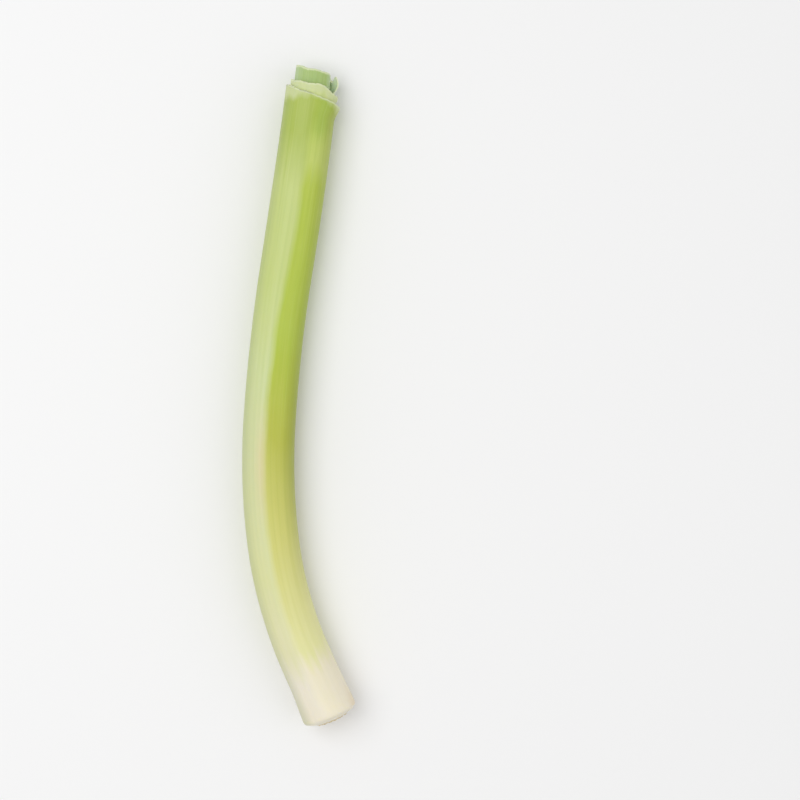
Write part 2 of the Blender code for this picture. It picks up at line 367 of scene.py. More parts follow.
def root_tissue():
    """A root cut off short: a tan skin round a paler core."""
    tissue = Tissue("root_tissue", roughness=0.6, glow=0.15, glow_depth=0.0008)
    spot = tissue.add("TexCoord").outputs["Object"]
    specks = tissue.grain(spot, ROOT_SPECKS, 3)
    tans = ((0.0, (200, 180, 140)), (0.6, (222, 207, 172)), (1.0, (234, 223, 196)))
    base = tissue.ramp(tissue.between(specks, NOISE_LOW, NOISE_HIGH), tans)
    bump = tissue.relief(specks, distance=0.0001, strength=0.6)
    return tissue.wear(Base_Color=base, Normal=bump)


def make_plate():
    """The pared disc, with faint rings on its dome where the knife skipped."""
    shift, half_width = nested(2, 0.0)
    half_width = half_width + LEAF_GAP - PLATE_CLEARANCE
    angle = 2 * pi * np.arange(PLATE_COLUMNS) / PLATE_COLUMNS
    skipped = PARING_SWING * ripple(angle, 2 * angle, 0, PARING_SEED)
    points, straight = [], []
    rows = [(share, False) for share in (*PLATE_SHARES, 1.0)]
    rows += [(share, True) for share in PLATE_TOP_SHARES]
    for share, is_top in rows:
        radius = share * half_width
        s = PLATE_THICKNESS
        if not is_top:
            s = dome(radius) + PARING_HEIGHT * np.sin(radius / PARING_WIDTH + skipped)
            s = s + (PLATE_RIM_DROP if share == 1.0 else 0.0)
        side, up = polar(radius, angle)
        points.append(place(s, shift + side, up))
        straight.append(triples(side, up, s))
    for s in (dome(0.0), PLATE_THICKNESS):
        points.append(place(s, shift, 0.0)[None])
        straight.append([[0.0, 0.0, s]])
    faces = []
    for i in range(len(rows) - 1):
        faces += ring_faces(i * PLATE_COLUMNS, (i + 1) * PLATE_COLUMNS, PLATE_COLUMNS)
    last = (len(rows) - 1) * PLATE_COLUMNS
    middle = len(rows) * PLATE_COLUMNS
    for j in range(PLATE_COLUMNS):
        k = (j + 1) % PLATE_COLUMNS
        faces.append((j, k, middle))
        faces.append((last + j, last + k, middle + 1))
    layers = {"straight": np.concatenate(straight)}
    return make_mesh("pared_root_plate", np.concatenate(points), faces, layers, [pared_stem()])


def new_tree(name, **inputs):
    """A node tree that is given a mesh and named sizes, and gives a mesh."""
    tree = bpy.data.node_groups.new(name, "GeometryNodeTree")
    tree.interface.new_socket("Mesh", in_out="INPUT", socket_type="NodeSocketGeometry")
    tree.interface.new_socket("Mesh", in_out="OUTPUT", socket_type="NodeSocketGeometry")
    for label, kind in inputs.items():
        tree.interface.new_socket(label, in_out="INPUT", socket_type="NodeSocket" + kind)
    return tree, tree.nodes.new("NodeGroupInput").outputs


def tree_math(tree, operation, a, b):
    return add_node(tree, "ShaderNodeMath", {0: a, 1: b}, operation=operation).outputs[0]


def tree_random(tree, low, high, seed):
    values = {2: low, 3: high, "Seed": seed}
    return add_node(tree, "FunctionNodeRandomValue", values, data_type="FLOAT").outputs[1]


def end_tree(tree, made, material, where=True):
    """Makes the tree's result real, coats it with a material and gives it."""
    real = add_node(tree, "GeometryNodeRealizeInstances", {0: made.outputs[0]})
    values = {"Geometry": real.outputs[0], "Selection": where, "Material": material}
    coat = add_node(tree, "GeometryNodeSetMaterial", values)
    gives = tree.nodes.new("NodeGroupOutput")
    tree.links.new(coat.outputs[0], gives.inputs[0])


def run_tree(target, tree, **settings):
    """Runs a tree on an object and keeps the result as the object's own plain mesh."""
    made = target.modifiers.new(tree.name, "NODES")
    made.node_group = tree
    sockets = {item.name: item.identifier for item in tree.interface.items_tree if item.in_out == "INPUT"}
    for label, value in settings.items():
        made[sockets[label]] = value
    bpy.context.view_layer.update()
    graph = bpy.context.evaluated_depsgraph_get()
    evaluated = target.evaluated_get(graph)
    plain = bpy.data.meshes.new_from_object(evaluated, preserve_all_data_layers=True, depsgraph=graph)
    target.modifiers.clear()
    plain.name = target.name
    target.data = plain


def hollow_stump(tree, given):
    """One upright stump, whose cut top has sunk in the middle."""
    sizes = {"Vertices": given["Sides"], "Radius": given["Radius"], "Depth": given["Height"]}
    steps = {"Side Segments": 2, "Fill Segments": 3}
    body = add_node(tree, "GeometryNodeMeshCylinder", {**sizes, **steps}).outputs["Mesh"]
    spot = add_node(tree, "GeometryNodeInputPosition").outputs[0]
    up = add_node(tree, "ShaderNodeSeparateXYZ", {0: spot}).outputs["Z"]
    near_top = tree_math(tree, "MULTIPLY", given["Height"], ROOT_TOP_FROM)
    is_top = add_node(tree, "FunctionNodeCompare", {0: up, 1: near_top}, operation="GREATER_THAN")
    share = tree_math(tree, "DIVIDE", from_axis(tree, spot), given["Radius"])
    bowl = tree_math(tree, "POWER", share, 2.0)
    depths = {"Value": bowl, "From Max": ROOT_BOWL_SHARE, "To Min": -ROOT_HOLLOW, "To Max": 0.0}
    sink = add_node(tree, "ShaderNodeMapRange", depths).outputs[0]
    sag = add_node(tree, "ShaderNodeCombineXYZ", {"Z": sink}).outputs[0]
    values = {"Geometry": body, "Selection": is_top.outputs[0], "Offset": sag}
    return add_node(tree, "GeometryNodeSetPosition", values).outputs[0]


def stump_tree():
    """A short, slightly hollowed root stump on each point, turned to stand along the shaft."""
    sizes = {"Radius": "Float", "Height": "Float", "Sides": "Int", "Turn": "Vector"}
    tree, given = new_tree("root_stumps", **sizes, Seed="Int", Tissue="Material")
    stump = hollow_stump(tree, given)
    width = tree_random(tree, *ROOT_WIDTHS, given["Seed"])
    spin = tree_random(tree, *ROOT_SPINS, given["Seed"])
    around = add_node(tree, "ShaderNodeCombineXYZ", {"Z": spin}).outputs[0]
    values = {"Points": given["Mesh"], "Instance": stump, "Rotation": given["Turn"], "Scale": width}
    placed = add_node(tree, "GeometryNodeInstanceOnPoints", values).outputs[0]
    turned = add_node(tree, "GeometryNodeRotateInstances", {"Instances": placed, "Rotation": around})
    end_tree(tree, turned, given["Tissue"])
    return tree


def root_spots():
    """Where the roots grew: the places of the solid plate's stumps."""
    draw = Random(ROOT_SEED)
    shift, _ = nested(2, 0.0)
    spots = []
    for radius, count in ROOT_RINGS:
        start = draw.uniform(0, 2 * pi)
        for i in range(count):
            angle = start + (2 * pi * i + draw.uniform(-0.5, 0.5)) / count
            across = radius + draw.uniform(-ROOT_WANDER, ROOT_WANDER)
            # The solid plate draws each stump's width and height here, so they are drawn and dropped.
            draw.uniform(0.85, 1.15)
            draw.uniform(0.7, 1.2)
            side, up = polar(across, angle)
            spots.append(tuple(place(dome(across) + ROOT_STANDS_IN, shift + side, up)))
    return spots


plate = make_plate()
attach(plate, "root")
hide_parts("root_plate")

spots = bpy.data.meshes.new("root_scars")
spots.from_pydata(root_spots(), [], [])
stumps = add_object("root_scars", spots)
stump_sizes = {"Radius": ROOT_RADIUS, "Height": ROOT_HEIGHT, "Sides": ROOT_SIDES}
stands = (radians(90), 0.0, radians(BASE_LEAN))
run_tree(stumps, stump_tree(), **stump_sizes, Seed=ROOT_SEED, Turn=stands, Tissue=root_tissue())
soften(stumps.data)
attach(stumps, "root")

# Outer leaf. The oldest leaf's sheath is the whole visible shaft: a tube about a millimetre thick, white
# at its foot, which soil covered, and green at the slanting knife cut, where its edge has dried papery.
# Strands run the length of it, just under a waxy skin.
SHOULDER_LENGTH = 0.0016
SHOULDER_DEPTH = 0.0009
SKIN_UNEVENNESS = 0.00005
SKIN_WAVE = 0.012
SKIN_WAVES_ROUND = 3
SKIN_SEED = 5
STANDS_OFF = 0.0015
STANDS_OFF_LENGTH = 0.0050
MOUTH_START = 0.2195
CUT_START = 0.2000
FOLD_START = 0.212
FOLD_SHARE = 0.12
CURL_SHARE = 0.15
CURL_PHASE = 2.2
# How much of the gap between two leaves stays open: little in the shaft, and more near the cut.
GAP_IN_SHAFT = 0.2
GAP_AT_CUT = 0.5
LOOSE_START = 0.19
LOOSE_LENGTH = 0.03
# A folded leaf's wall gets thinner over this last stretch before its free margin.
MARGIN_TAPER = 0.0022
MARGIN_THICKNESS = 0.45
# Ripples that the knife leaves in an edge: height, how many go round, and how far its phase turns them.
RAGGED = ((0.00022, 3, 1), (0.00012, 7, 2), (0.00006, 23, 1), (0.00004, 41, 3))
# Over the cut, the edge is rounded a little: depths in the wall, and how far each stands up.
CREST = ((0.0, -0.00010), (0.07, -0.00003), (0.2, 0.0), (0.5, 0.00004))
FOOT_DEPTHS = (0.8, 0.4)
FOOT_RINGS = (0.0, 0.0002, 0.0005, 0.0008, 0.0012, SHOULDER_LENGTH)
FOOT_RINGS_INSIDE = (0.0, 0.0008, SHOULDER_LENGTH)
OUTSIDE_RINGS_START = 0.0022
INSIDE_RINGS_START = 0.0060
SHAFT_RINGS_END = 0.2150
CUT_RINGS_START = 0.2158
CUT_RINGS_END = SHAFT_LENGTH - 0.0001


class Leaf(NamedTuple):
    """One leaf, as the knife left it."""

    node: str
    index: int  # how many leaves are round it
    cut: float  # how far its cut is past the shaft's length
    slant: float  # how much less that is at its right, and more at its left
    phase: int  # turns the cut's ripples, so that no two leaves' are the same
    mouth: float = 0.0  # half the angle between its two margins at the cut, in degrees
    lobe: tuple = (0.0, 0.0, 1.0)  # a higher place in the cut: how much, its angle, its tightness
    curl: tuple = ()  # how far its lower margin curls out, up and along


def rim(leaf, angle):
    """Distance along the shaft of a leaf's cut edge, which is a little ragged."""
    edge = SHAFT_LENGTH + leaf.cut - leaf.slant * np.cos(angle)
    for height, count, turned in RAGGED:
        edge = edge + height * np.sin(count * angle + turned * leaf.phase)
    rise, middle, tightness = leaf.lobe
    return edge + rise * np.exp(tightness * (np.cos(angle - radians(middle)) - 1))


def leaning(ring, end):
    """A ring's place once the last stretch is drawn out to a slanting cut."""
    drawn = CUT_START + (ring - CUT_START) * (end - CUT_START) / (SHAFT_LENGTH - CUT_START)
    return np.where(ring <= CUT_START, ring, drawn)


def thinned(leaf, s, turn, depth):
    """Depth in a wall that gets thinner towards its free margins."""
    from_margin = np.minimum(turn, 1 - turn) * 2 * pi * nested(leaf.index, s)[1]
    share = MARGIN_THICKNESS + (1 - MARGIN_THICKNESS) * smooth(from_margin / MARGIN_TAPER)
    return 0.5 + (depth - 0.5) * share


def inside_wall(leaf, s, depth):
    """The sideways shift and half width at a depth in a leaf's wall."""
    shift_out, half_out = nested(leaf.index, s)
    shift_in, half_in = nested(leaf.index + 1, s)
    loose = smooth((s - LOOSE_START) / LOOSE_LENGTH)
    half_in = half_in + LEAF_GAP * (GAP_IN_SHAFT + (GAP_AT_CUT - GAP_IN_SHAFT) * loose)
    return shift_out + (shift_in - shift_out) * depth, half_out + (half_in - half_out) * depth


def rounded(s, angle, half_width, depth):
    """The outer leaf's half width: rounded off at the foot, and a little uneven on its outside."""
    low = dome(half_width)
    drop = np.clip(1 - (s - low) / (SHOULDER_LENGTH - low), 0.0, 1.0)
    worn = np.where(s < SHOULDER_LENGTH, SHOULDER_DEPTH * (1 - np.sqrt(1 - drop * drop)), 0.0)
    wave = 1 + ripple(*polar(SKIN_WAVES_ROUND, angle), s / SKIN_WAVE, SKIN_SEED)
    return half_width - worn * (1 - depth) - SKIN_UNEVENNESS * wave * (depth < 0.5)


def curled(leaf, turn, above_mouth):
    """How far out, up and along a leaf's lower margin has curled."""
    share = smooth((turn - 1 + CURL_SHARE) / CURL_SHARE)
    out, up, forward = leaf.curl
    bulges = np.sin(CURL_PHASE * above_mouth) ** 2
    return out * share * bulges, up * share * above_mouth, forward * share * above_mouth


def wall_point(leaf, ring, turn, depth, is_slit):
    """Points in a leaf's wall: turn is 0 to 1 round it, depth 0 to 1 from its outside to its inside."""
    above_mouth = np.clip((ring - MOUTH_START) / (SHAFT_LENGTH - MOUTH_START), 0.0, 1.0)
    opening = radians(leaf.mouth) * np.sqrt(above_mouth) if is_slit else 0.0
    seam = 0.0 if WALLS[leaf.index][2] == LEFT else pi
    angle = seam + opening + (2 * pi - 2 * opening) * turn
    end = rim(leaf, angle)
    s = leaning(ring, end)
    if is_slit:
        depth = thinned(leaf, s, turn, depth)
    shift, half_width = inside_wall(leaf, s, depth)
    folded, stands_off = 0.0, 0.0
    if leaf.mouth > 0:
        folded = FOLD_SHARE * smooth((s - FOLD_START) / (SHAFT_LENGTH - FOLD_START))
    else:
        low = dome(half_width)
        s = np.where(ring <= SHOULDER_LENGTH, low + ring / SHOULDER_LENGTH * (SHOULDER_LENGTH - low), s)
        stands_off = STANDS_OFF * smooth((s - rim(leaf, 0.0) + STANDS_OFF_LENGTH) / STANDS_OFF_LENGTH)
    if leaf.index == 0:
        half_width = rounded(s, angle, half_width, depth)
    side = shift + half_width * np.cos(angle) + stands_off * np.maximum(np.cos(angle), 0.0)
    up = half_width * along(SHAFT_HEIGHT_SHARE, s) * (1 - folded) * np.sin(angle)
    if leaf.curl and is_slit:
        out, lift, forward = curled(leaf, turn, above_mouth)
        side, up, s = side + out, up + lift, s + forward
    straight = triples(*polar(half_width, angle), s)
    edges = triples(end - s, depth, turn if leaf.mouth > 0 else 0.5)
    return s, side, up, straight, edges


class Rings:
    """A leaf's wall as rings of points. Above its mouth a folded leaf's rings are slit, with two ends."""

    def __init__(self, leaf, columns, rows):
        self.columns = columns
        self.first = []
        self.is_slit = []
        points, straight, edges = [], [], []
        turn = np.arange(columns + 1) / columns
        count = 0
        for ring, depth, lift in rows:
            is_slit = leaf.mouth > 0 and ring > MOUTH_START
            used = turn if is_slit else turn[:-1]
            s, side, up, flat, edge = wall_point(leaf, np.float64(ring), used, depth, is_slit)
            points.append(place(s + lift, side, up))
            straight.append(flat)
            edges.append(edge)
            self.first.append(count)
            self.is_slit.append(is_slit)
            count += len(used)
        self.points = np.concatenate(points)
        self.layers = {"straight": np.concatenate(straight), "edges": np.concatenate(edges)}

    def faces(self, lower, upper):
        """The faces between two rings."""
        slit = (self.is_slit[lower], self.is_slit[upper])
        return ring_faces(self.first[lower], self.first[upper], self.columns, slit)

    def end(self, ring, is_last):
        """The number of a slit ring's first or last point, or of a closed ring's seam."""
        return self.first[ring] + (self.columns if is_last and self.is_slit[ring] else 0)

    def margin(self, outside, crest, inside, is_last):
        """The faces down one edge of the slit, from the crest of the cut to where the slit starts."""
        spots = [(self.end(a, is_last), self.end(b, is_last)) for a, b in zip(outside, inside)]
        faces = [(a, c, d, b) for (a, b), (c, d) in zip(spots, spots[1:])]
        over = [self.end(ring, is_last) for ring in crest]
        return faces + [(spots[-1][0], *over, spots[-1][1])]


def make_wall(leaf, name, columns, outside, inside, materials):
    """A leaf's whole wall: up its outside, over the cut, down its inside, across its foot."""
    over = [*CREST, *((1 - depth, lift) for depth, lift in CREST[-2::-1])]
    rows = [(ring, 0.0, 0.0) for ring in outside]
    rows += [(SHAFT_LENGTH, depth, lift) for depth, lift in over]
    rows += [(ring, 1.0, 0.0) for ring in inside[::-1]]
    rows += [(outside[0], depth, 0.0) for depth in FOOT_DEPTHS]
    rings = Rings(leaf, columns, rows)
    crest = range(len(outside), len(outside) + len(over))
    foot = range(len(rows) - len(FOOT_DEPTHS) - 1, len(rows))
    faces, picks = [], []
    for i in range(len(rows)):
        is_cut = i in crest[:-1] or i in foot
        faces += rings.faces(i, (i + 1) % len(rows))
        picks += [int(is_cut)] * columns
    if leaf.mouth > 0:
        rise = len(outside) - outside.index(MOUTH_START)
        going_up = range(len(outside) - rise, len(outside))
        coming_down = range(crest[-1] + rise, crest[-1], -1)
        for is_last in (False, True):
            margin = rings.margin(going_up, crest, coming_down, is_last)
            faces += margin
            picks += [1] * len(margin)
    return make_mesh(name, rings.points, faces, rings.layers, materials, picks)


class Patch(NamedTuple):
    """Another colour on part of a leaf, with its strength at places across the shaft and along it."""

    colour: tuple
    across: tuple  # places to the right of the shaft's middle
    along: tuple = ((0.0, 1.0),)  # places from the root end
    is_streaky: bool = False


class Skin(NamedTuple):
    """The look of one leaf's skin."""

    name: str
    main_colours: tuple  # colours from the root end to the cut
    pale_and_sheen: tuple = ()  # the same for the paler left side, where that differs: partly the leaf's own colour, partly painted sheen from the large light on the left
    patches: tuple = ()
    streak: float = 0.004  # how far the colours run into each other in streaks along the leaf
    dark_strands: float = 0.20
    pale_strands: float = 0.18
    dried: float = 0.0008  # how wide the dried edge is
    narrower: tuple = ()  # how much less that is, at places across the shaft
    roughness: float = 0.45
    bloom: float = 0.08  # wax on the skin


WAX = {
    "IOR": 1.38,
    "Sheen Roughness": 0.4,
    "Sheen Tint": seen(225, 235, 235),
    "Coat Weight": 0.05,
    "Coat Roughness": 0.28,
}
# Across a leaf the streaks come many to a metre, and along it few.
BROAD_STREAKS = (150, 150, 14)
NARROW_STREAKS = (900, 900, 12)
FINE_STREAKS = (2600, 2600, 30)
CLOUDS = (55, 55, 40)
FRAYING = (230, 230, 60)
CUT_CELLS = (3200, 3200, 3200)
# The border between a leaf's greener right and its paler left, which is partly its own colour and partly
# painted sheen from the light on the left, and how that border wanders and drifts along the leaf.
PALE_AND_SHEEN_BORDER = (0.0010, -0.0014)
BORDER_SWING = 0.0005
BORDER_DRIFT = (0.125, 0.175, 0.0008, -0.0020)
# How strongly the strands show along the leaf, and what part of a noise is a strand, cloud or trough.
STRANDS_ALONG = (0.02, 0.20, 0.12, 1.0)
DARK_STRAND_NOISE = (0.46, 0.70)
PALE_STRAND_NOISE = (0.52, 0.72)
CLOUDS_SHOW = (0.35, 0.7, 0.0, 0.12)
TROUGH_NOISE = (0.62, 0.35)
# A point less deep in the wall than this is on the leaf's outside.
SKIN_DEPTH = 0.01
# The dried edge and the crisp rim at the cut, the same at a margin, and where the leaf's inside starts.
DRIED_BORDER = (1.08, 0.55)
DRIED_STRENGTH = 0.78
CRISP_AT_CUT = (0.0008, 0.0001)
CRISP_STRENGTH = 0.70
MARGIN_SHOWS = (0.41, 0.46, 0.0, 0.5)
CRISP_AT_MARGIN = (0.478, 0.494)
INSIDE_SHOWS = (0.5, 0.6, 0.0, 0.70)
# In a cut, how far from the wall's middle its green rind is, how the cells show, and where it is white.
RIND_BORDER = (0.30, 0.46)
CUT_CELLS_SHOW = (0.5, 0.8, 0.0, 0.3)
FOOT_CELLS_SHOW = (0.45, 0.75, 0.0, 0.35)
FOOT_CUT = (0.030, 0.012)
DARK_STRAND = seen(128, 162, 40)
PALE_STRAND = seen(226, 232, 176)
CLOUD_TINT = seen(206, 208, 132)
DRIED_TISSUE = seen(208, 216, 166)
FREE_MARGIN = seen(188, 208, 168)
CRISP_EDGE = seen(226, 233, 204)
INNER_SKIN = seen(212, 230, 204)
CUT_CELL_TINT = seen(198, 204, 150)
BLANCHED = seen(240, 231, 206)
BLANCHED_CELL_TINT = seen(216, 202, 166)


def coloured(tissue, look, x, z, broad, narrow, cloud):
    """The skin's colours along the leaf and across it."""
    wide = tissue.between(broad, 0.25, 0.75, -look.streak, look.streak)
    slim = tissue.wander(narrow, look.streak / 3)
    at = tissue.between(tissue.plus(z, tissue.plus(wide, slim)), 0.0, SHAFT_LENGTH)
    base = tissue.ramp(at, look.main_colours)
    # The paler left side is partly the leaf's own colour and partly painted sheen from the large light on
    # the left.
    if look.pale_and_sheen:
        drift = tissue.plus(tissue.wander(cloud, BORDER_SWING), tissue.between(z, *BORDER_DRIFT))
        pale_and_sheen_share = tissue.between(tissue.plus(x, drift), *PALE_AND_SHEEN_BORDER)
        base = tissue.blend(pale_and_sheen_share, base, tissue.ramp(at, look.pale_and_sheen))
    for patch in look.patches:
        share = tissue.times(tissue.profile(x, patch.across), tissue.profile(z, patch.along))
        if patch.is_streaky:
            share = tissue.times(share, tissue.between(broad, 0.3, 0.6, 0.1, 0.5))
        base = tissue.blend(share, base, seen(*patch.colour))
    return base


def stranded(tissue, look, base, z, narrow, fine, cloud):
    """Dark and pale strands under the skin, clearer where it is green, and faint clouds."""
    clear = tissue.between(z, *STRANDS_ALONG)
    dark = tissue.times(tissue.between(narrow, *DARK_STRAND_NOISE), clear)
    base = tissue.blend(tissue.times(dark, look.dark_strands), base, DARK_STRAND)
    pale = tissue.times(tissue.between(fine, *PALE_STRAND_NOISE), clear)
    base = tissue.blend(tissue.times(pale, look.pale_strands), base, PALE_STRAND)
    return tissue.blend(tissue.between(cloud, *CLOUDS_SHOW), base, CLOUD_TINT)


def dried_share(tissue, look, straight, x, to_cut):
    """How far the skin has dried, from the cut downwards, with a frayed border."""
    swing = min(0.0011, 0.3 * look.dried)
    reach = tissue.plus(to_cut, tissue.wander(tissue.grain(straight, FRAYING, 4, 0.6), swing))
    if look.narrower:
        reach = tissue.plus(reach, tissue.profile(x, look.narrower))
    return tissue.between(reach, *(look.dried * share for share in DRIED_BORDER))


def edged(tissue, base, papery, to_cut, depth, turn):
    """The dried edge, the crisp rim and free margins, and the paler inside of the leaf."""
    base = tissue.blend(tissue.times(papery, DRIED_STRENGTH), base, DRIED_TISSUE)
    from_keel = tissue.math("ABSOLUTE", tissue.math("SUBTRACT", turn, 0.5))
    base = tissue.blend(tissue.between(from_keel, *MARGIN_SHOWS), base, FREE_MARGIN)
    crisp = tissue.between(to_cut, *CRISP_AT_CUT)
    crisp = tissue.math("MAXIMUM", crisp, tissue.between(from_keel, *CRISP_AT_MARGIN))
    base = tissue.blend(tissue.times(crisp, CRISP_STRENGTH), base, CRISP_EDGE)
    return tissue.blend(tissue.between(depth, *INSIDE_SHOWS), base, INNER_SKIN)


def make_skin(look):
    """Waxy leaf skin over long strands, with a dried edge at the cut."""
    tissue = Tissue(look.name, look.roughness, glow=0.22, glow_depth=0.0016)
    tissue.finish({**WAX, "Sheen Weight": look.bloom})
    straight = tissue.layer("straight")
    x, _, z = tissue.parts(straight)
    to_cut, depth, turn = tissue.parts(tissue.layer("edges"))
    broad = tissue.grain(straight, BROAD_STREAKS, 2)
    narrow = tissue.grain(straight, NARROW_STREAKS, 2)
    fine = tissue.grain(straight, FINE_STREAKS, 2)
    cloud = tissue.grain(straight, CLOUDS, 4)
    base = coloured(tissue, look, x, z, broad, narrow, cloud)
    base = stranded(tissue, look, base, z, narrow, fine, cloud)
    papery = dried_share(tissue, look, straight, x, to_cut)
    base = edged(tissue, base, papery, to_cut, depth, turn)
    dull = tissue.between(papery, 0.0, 1.0, look.roughness, look.roughness + 0.2)
    rough = tissue.plus(dull, tissue.wander(fine, 0.05))
    bump = tissue.relief(cloud, distance=0.0006, strength=0.25)
    bump = tissue.relief(narrow, distance=0.00012, strength=0.4, under=bump)
    bump = tissue.relief(fine, distance=0.00005, strength=0.5, under=bump)
    return tissue.wear(Base_Color=base, Roughness=rough, Normal=bump)


def cut_tissue(name, core, rind):
    """Where the knife went through: moist pale flesh between two thin green skins."""
    tissue = Tissue(name, roughness=0.35, glow=0.3, glow_depth=0.0016)
    tissue.finish({"Coat Weight": 0.2, "Coat Roughness": 0.2})
    straight = tissue.layer("straight")
    _, _, z = tissue.parts(straight)
    _, depth, _ = tissue.parts(tissue.layer("edges"))
    from_middle = tissue.math("ABSOLUTE", tissue.math("SUBTRACT", depth, 0.5))
    cells = tissue.grain(straight, CUT_CELLS, 4)
    green = tissue.between(tissue.plus(from_middle, tissue.wander(cells, 0.05)), *RIND_BORDER)
    base = tissue.blend(green, seen(*core), seen(*rind))
    base = tissue.blend(tissue.between(cells, *CUT_CELLS_SHOW), base, CUT_CELL_TINT)
    foot = tissue.blend(tissue.between(cells, *FOOT_CELLS_SHOW), BLANCHED, BLANCHED_CELL_TINT)
    base = tissue.blend(tissue.between(z, *FOOT_CUT), base, foot)
    bump = tissue.relief(cells, distance=0.00012, strength=0.6)
    return tissue.wear(Base_Color=base, Normal=bump)


def rib_tree():
    """Raises the long strands under the skin: the wall sinks a little between them."""
    sizes = {"Depth": "Float", "Spacing": "Float", "Length": "Float"}
    tree, given = new_tree("lengthwise_ribs", **sizes, Seed="Float", Skin="Material")
    layer = "GeometryNodeInputNamedAttribute"
    straight = add_node(tree, layer, {"Name": "straight"}, data_type="FLOAT_VECTOR").outputs[0]
    edges = add_node(tree, layer, {"Name": "edges"}, data_type="FLOAT_VECTOR").outputs[0]
    tight = tree_math(tree, "DIVIDE", 1.0, given["Spacing"])
    loose = tree_math(tree, "DIVIDE", 1.0, given["Length"])
    scale = add_node(tree, "ShaderNodeCombineXYZ", {"X": tight, "Y": tight, "Z": loose}).outputs[0]
    spread = add_node(tree, "ShaderNodeVectorMath", {0: straight, 1: scale}, operation="MULTIPLY")
    values = {"Vector": spread.outputs[0], "W": given["Seed"], "Scale": 1.0, "Detail": 1.0}
    noise = add_node(tree, "ShaderNodeTexNoise", values, noise_dimensions="4D").outputs[0]
    troughs = {"Value": noise, "From Min": TROUGH_NOISE[0], "From Max": TROUGH_NOISE[1]}
    sunk = add_node(tree, "ShaderNodeMapRange", troughs).outputs[0]
    inward = tree_math(tree, "MULTIPLY", tree_math(tree, "MULTIPLY", sunk, given["Depth"]), -1.0)
    normal = add_node(tree, "GeometryNodeInputNormal").outputs[0]
    move = add_node(tree, "ShaderNodeVectorMath", {0: normal, "Scale": inward}, operation="SCALE")
    through = add_node(tree, "ShaderNodeSeparateXYZ", {0: edges}).outputs["Y"]
    is_outside = add_node(tree, "FunctionNodeCompare", {0: through, 1: SKIN_DEPTH}, operation="LESS_THAN")
    values = {"Geometry": given["Mesh"], "Selection": is_outside.outputs[0], "Offset": move.outputs[0]}
    moved = add_node(tree, "GeometryNodeSetPosition", values)
    number = add_node(tree, "GeometryNodeInputMaterialIndex").outputs[0]
    is_skin = add_node(tree, "FunctionNodeCompare", {2: number, 3: 0}, data_type="INT", operation="EQUAL")
    end_tree(tree, moved, given["Skin"], is_skin.outputs[0])
    return tree


def near_cut(count):
    """Rings close under the cut."""
    return np.linspace(CUT_RINGS_START, CUT_RINGS_END, count)


OUTER = Leaf("outer_leaf", 0, cut=0.0002, slant=0.0027, phase=36)
# Darker olive on the right flank: partly the leaf's own deeper green, partly painted shade from a
# neighbouring leek.
GREEN_AND_SHADE_FLANK = Patch(
    (136, 150, 22),
    across=((0.0052, 0.0), (0.0094, 1.0)),
    along=((0.04, 0.0), (0.09, 0.66), (0.115, 0.66), (0.155, 0.46)),
)
# Painted shade: the outer leaf's left edge darker and greyer, as where the shaft turns away from the
# light.
SHADE_ON_LEFT_EDGE = Patch((150, 164, 100), across=((-0.0094, 0.42), (-0.0058, 0.0)))
FRESH_UNDER_CUT = Patch(
    (150, 186, 62),
    across=((0.0010, 0.0), (0.0044, 1.0), (0.0062, 1.0), (0.0084, 0.0)),
    along=((0.209, 0.0), (0.215, 0.4)),
)
WARM_STRIPE = Patch(
    (226, 206, 158),
    across=((-0.0050, 0.0), (-0.0026, 1.0), (-0.0016, 1.0), (0.0004, 0.0)),
    along=((0.070, 0.0), (0.090, 1.0), (0.098, 1.0), (0.118, 0.0)),
    is_streaky=True,
)
TAN_CORNER = Patch((214, 176, 126), ((0.0078, 0.0), (0.0098, 1.0)), ((0.001, 0.3), (0.010, 0.0)))
ribs = rib_tree()
outer_look = Skin(
    "outer_leaf_skin",
    main_colours=(
        (0.00, (242, 233, 212)),
        (0.08, (240, 231, 206)),
        (0.12, (230, 228, 168)),
        (0.30, (212, 210, 122)),
        (0.46, (188, 192, 78)),
        (0.62, (181, 200, 72)),
        (0.85, (184, 202, 76)),
        (0.89, (197, 211, 112)),
        (0.93, (190, 206, 102)),
        (0.96, (172, 190, 76)),
    ),
    # The paler left side: partly the leaf's own colour, partly painted sheen from the large light on the
    # left.
    pale_and_sheen=(
        (0.00, (238, 229, 210)),
        (0.07, (236, 229, 211)),
        (0.12, (226, 223, 182)),
        (0.24, (218, 220, 164)),
        (0.42, (211, 216, 166)),
        (0.56, (205, 215, 156)),
        (0.70, (197, 210, 132)),
        (0.85, (196, 209, 130)),
        (0.94, (172, 190, 88)),
    ),
    patches=(GREEN_AND_SHADE_FLANK, SHADE_ON_LEFT_EDGE, FRESH_UNDER_CUT, WARM_STRIPE, TAN_CORNER),
    streak=0.006,
    dark_strands=0.12,
    pale_strands=0.10,
    dried=0.0052,
    narrower=((-0.0062, 0.0), (0.0004, 0.0042), (0.0050, 0.0042), (0.0085, 0.0023)),
    roughness=0.42,
    bloom=0.03,
)
outer_skin = make_skin(outer_look)
outer_cut = cut_tissue("outer_leaf_cut", (230, 232, 196), (190, 206, 120))
outer = make_wall(
    OUTER,
    "outer_leaf_sheath",
    columns=360,
    outside=[*FOOT_RINGS, *np.linspace(OUTSIDE_RINGS_START, SHAFT_RINGS_END, 108), *near_cut(24)],
    inside=[*FOOT_RINGS_INSIDE, *np.linspace(INSIDE_RINGS_START, SHAFT_RINGS_END, 18), *near_cut(14)],
    materials=[outer_skin, outer_cut],
)
run_tree(outer, ribs, Depth=0.00004, Spacing=0.0014, Length=0.06, Seed=2.0, Skin=outer_skin)
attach(outer, "root")
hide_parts("outer_leaf")

